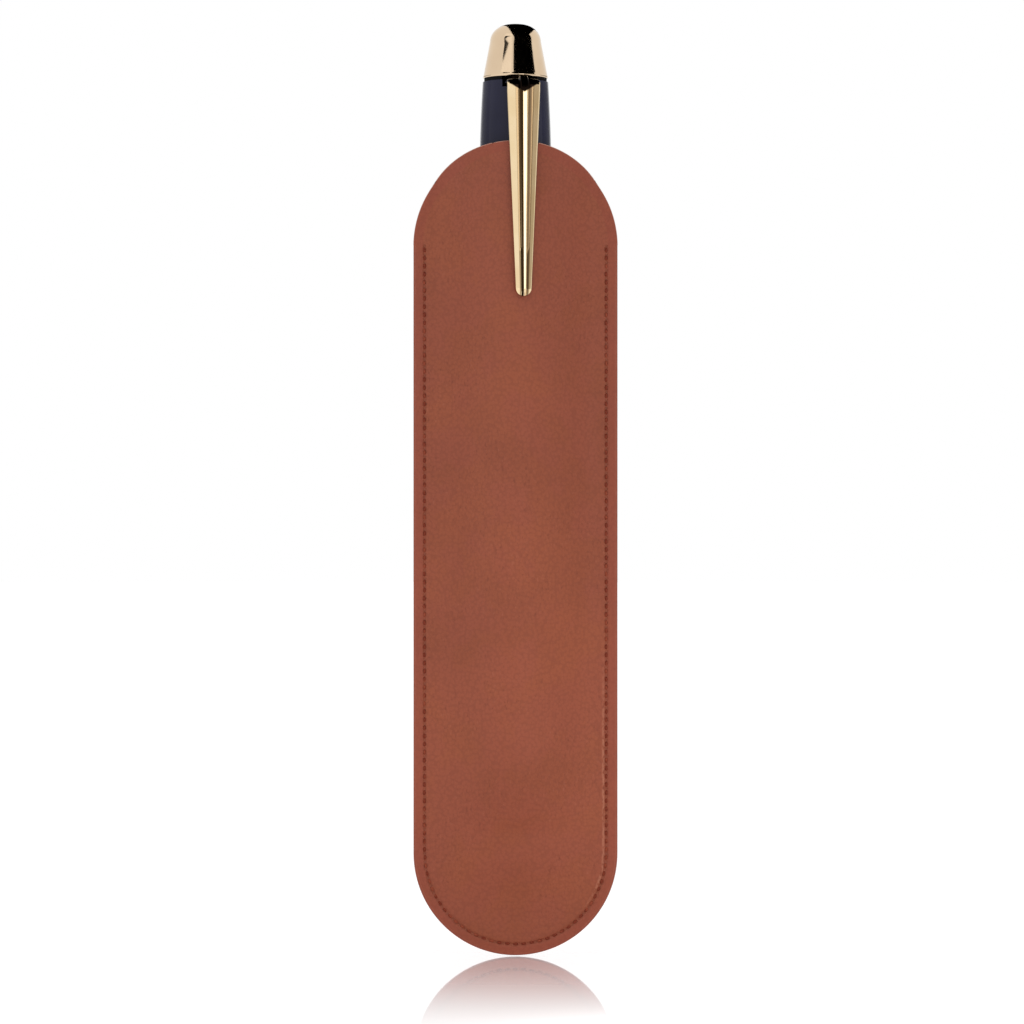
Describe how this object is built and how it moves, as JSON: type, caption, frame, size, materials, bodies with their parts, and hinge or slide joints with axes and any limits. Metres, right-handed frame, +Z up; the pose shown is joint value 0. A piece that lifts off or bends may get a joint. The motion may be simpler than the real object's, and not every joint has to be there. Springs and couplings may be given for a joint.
{
  "type": "single pen sleeve",
  "caption": "Flat rounded leather sleeve sewn along its sides and foot, open at the top, holding a twist pen by its clip.",
  "frame": {"origin": "lowest point of the sleeve's rounded foot, in the plane between its two halves", "axes": "+Z up the sleeve towards its mouth, -Y out of the front face that the clip lies on, +X to the right seen from the front"},
  "size_m": [0.038, 0.0194, 0.1733],
  "materials": {
    "leather": "smooth fine-grained tan-brown leather, semi-matt",
    "lining": "dark brown microfibre with a short nap",
    "edge_paint": "thin flexible edge paint, satin",
    "thread": "tonal dark red-brown polyester thread",
    "gold_plate": "polished pale gold plate",
    "raw_brass": "turned brass, unplated",
    "lacquer": "blue-black lacquer, high gloss",
    "steel": "bright drawn steel",
    "nylon": "natural white moulded plastic"
  },
  "bodies": {
    "sleeve": {"front_panel": "leather", "back_panel": "leather", "front_lining": "lining", "back_lining": "lining", "seam_edge": "edge_paint", "front_lip_edge": "edge_paint", "back_lip_edge": "edge_paint", "needle_thread": "thread", "bobbin_thread": "thread"},
    "pen_top": {"crown": "gold_plate", "crown_stud": "raw_brass", "upper_barrel": "lacquer", "cam_tube": "nylon"},
    "pen_clip": {"clip": "gold_plate"},
    "pen_lower": {"centre_ring": "gold_plate", "collar_tube": "raw_brass", "lower_barrel": "lacquer", "nose_cone": "gold_plate", "spring": "steel"},
    "refill": {"plunger": "nylon", "refill_body": "steel", "refill_point": "raw_brass"}
  },
  "joints": [
    {"name": "pen_slide", "type": "slide", "parent": "sleeve", "child": "pen_top", "axis": [0, 0, 1], "range_m": [-0.01, 0.15]},
    {"name": "clip_lift", "type": "hinge", "parent": "pen_top", "child": "pen_clip", "pos_m": [0.00094, -0.00593, 0.1621], "axis": [-0.9877, -0.1564, 0], "range_deg": [0, 6], "stiffness_Nm_per_rad": 0.3},
    {"name": "barrel_twist", "type": "hinge", "parent": "pen_top", "child": "pen_lower", "pos_m": [0, 0, 0.1], "axis": [0, 0, 1], "range_deg": [0, 180]},
    {"name": "refill_slide", "type": "slide", "parent": "pen_lower", "child": "refill", "axis": [0, 0, 1], "range_m": [-0.005, 0], "deforming": ["spring"]}
  ],
  "couplings": [
    {"joint": "barrel_twist", "follows": "refill_slide", "rad_per_m": -628.31}
  ]
}
